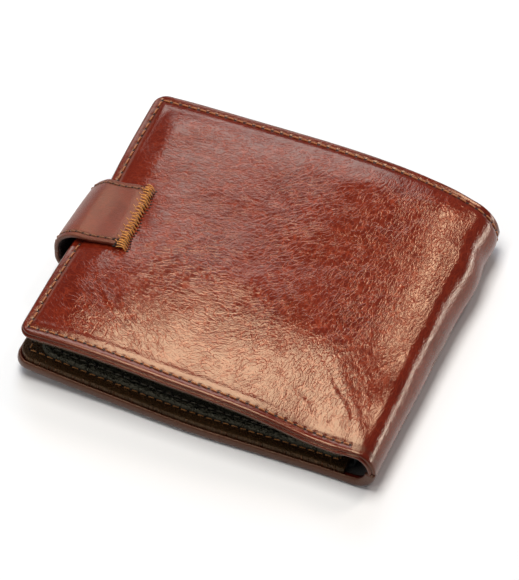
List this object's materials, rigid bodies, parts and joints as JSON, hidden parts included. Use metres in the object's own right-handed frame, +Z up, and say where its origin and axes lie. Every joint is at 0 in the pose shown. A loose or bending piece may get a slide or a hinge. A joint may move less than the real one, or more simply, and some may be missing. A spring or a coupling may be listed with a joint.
{
  "type": "wallet",
  "caption": "Folding leather wallet with note compartment, stepped card pockets, a hinged inner leaf and a press-stud closing strap.",
  "frame": {"origin": "on the table, under the middle of the closed wallet's box", "axes": "+X from the opening edge to the spine, +Y to the note edge, +Z up"},
  "size_m": [0.1092, 0.09, 0.0215],
  "materials": {
    "outer_leather": "glossy chestnut full-grain leather with fine natural creases",
    "strap_lining_leather": "smooth brown lining leather",
    "pocket_leather": "dark brown pebbled leather with a slight golden sheen",
    "black_leather": "black pebbled leather",
    "note_lining": "black woven lining",
    "board": "bonded leather board",
    "clear_window": "clear flexible plastic",
    "seam_thread": "orange-brown sewing thread",
    "bar_tack_thread": "bright orange-gold sewing thread",
    "antique_brass": "antique brass press stud",
    "spring_steel": "bright spring wire"
  },
  "bodies": {
    "back": {"back_cover": "outer_leather", "back_edge_thread": "seam_thread", "back_stiffener": "board", "back_note_lining": "note_lining", "note_divider": "note_lining", "back_pocket_base": "pocket_leather", "back_card_pocket_1": "pocket_leather", "back_card_pocket_2": "pocket_leather", "back_card_pocket_3": "pocket_leather", "back_card_pocket_4": "pocket_leather", "snap_stud": "antique_brass", "snap_post": "antique_brass"},
    "spine": {"spine_leather": "outer_leather", "spine_thread": "seam_thread", "spine_lining": "note_lining"},
    "front": {"front_cover": "outer_leather", "front_edge_thread": "seam_thread", "front_stiffener": "board", "front_note_lining": "note_lining", "front_pocket_base": "pocket_leather", "front_card_pocket_1": "pocket_leather", "front_card_pocket_2": "pocket_leather", "front_card_pocket_3": "pocket_leather", "strap_anchor_leather": "outer_leather", "strap_anchor_lining": "strap_lining_leather", "strap_anchor_thread": "seam_thread", "strap_bar_tack": "bar_tack_thread"},
    "leaf": {"leaf_upper_panel": "black_leather", "leaf_lower_panel": "black_leather", "leaf_stiffener": "board", "leaf_hinge_strip": "black_leather", "leaf_card_pocket": "black_leather", "leaf_window": "clear_window", "leaf_window_frame": "black_leather", "leaf_edge_thread": "seam_thread"},
    "strap_side": {"strap_side_leather": "outer_leather", "strap_side_lining": "strap_lining_leather", "strap_side_thread": "seam_thread"},
    "strap_tip": {"strap_tip_leather": "outer_leather", "strap_tip_lining": "strap_lining_leather", "strap_tip_thread": "seam_thread", "snap_socket": "antique_brass", "snap_spring_wires": "spring_steel", "snap_cap": "antique_brass"}
  },
  "joints": [
    {"name": "spine_fold", "type": "hinge", "parent": "back", "child": "spine", "pos_m": [0.0525, 0, 0.0021], "axis": [0, 1, 0], "range_deg": [0, 85]},
    {"name": "cover_fold", "type": "hinge", "parent": "spine", "child": "front", "pos_m": [0.0525, 0, 0.0131], "axis": [0, 1, 0], "range_deg": [0, 85]},
    {"name": "leaf_turn", "type": "hinge", "parent": "back", "child": "leaf", "pos_m": [0.0444, 0, 0.0067], "axis": [0, 1, 0], "range_deg": [0, 85]},
    {"name": "strap_bend", "type": "hinge", "parent": "front", "child": "strap_side", "pos_m": [-0.05338, 0, 0.01824], "axis": [0, 1, 0], "range_deg": [0, 84]},
    {"name": "strap_unsnap", "type": "hinge", "parent": "strap_side", "child": "strap_tip", "pos_m": [-0.0534, 0, 0.00418], "axis": [0, 1, 0], "range_deg": [0, 84]}
  ],
  "couplings": [
    {"joint": "cover_fold", "follows": "spine_fold", "ratio": 1},
    {"joint": "leaf_turn", "follows": "spine_fold", "ratio": 1},
    {"joint": "strap_unsnap", "follows": "strap_bend", "ratio": 1}
  ]
}
